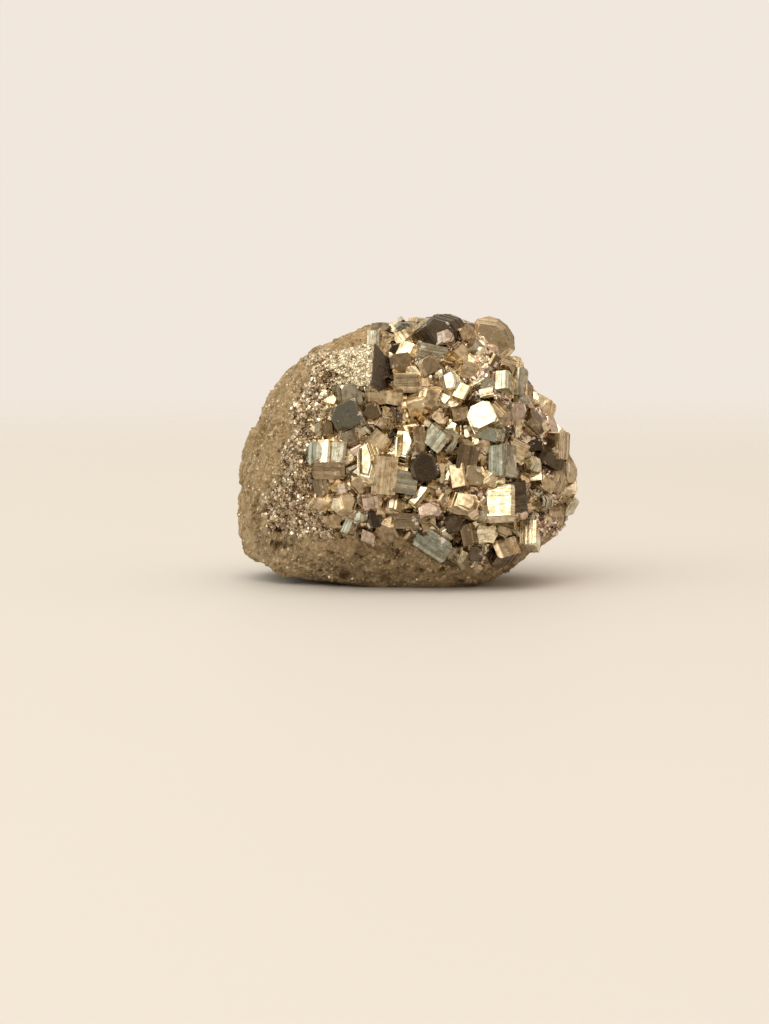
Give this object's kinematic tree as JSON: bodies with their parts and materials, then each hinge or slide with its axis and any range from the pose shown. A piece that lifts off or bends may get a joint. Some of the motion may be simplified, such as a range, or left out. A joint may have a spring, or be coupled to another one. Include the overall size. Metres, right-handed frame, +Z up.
{
  "type": "pyrite specimen",
  "caption": "Free-standing natural lump of massive pyrite with a crust of intergrown brassy crystals over its front, crest and right side.",
  "frame": {"origin": "on the ground, under the middle of the specimen's box, with the flat underside resting on z = 0", "axes": "+Z up, crystal crust facing -Y, longest side along X, broad plain broken face towards -X"},
  "size_m": [0.0559, 0.0421, 0.0437],
  "materials": {
    "massive_pyrite": "matt, fine-grained, brown-tan with small glints",
    "crystal_pyrite": "mirror-bright striated crystal faces, pale brassy gold"
  },
  "bodies": {
    "root": {"pyrite_cluster": "massive_pyrite"}
  },
  "joints": []
}
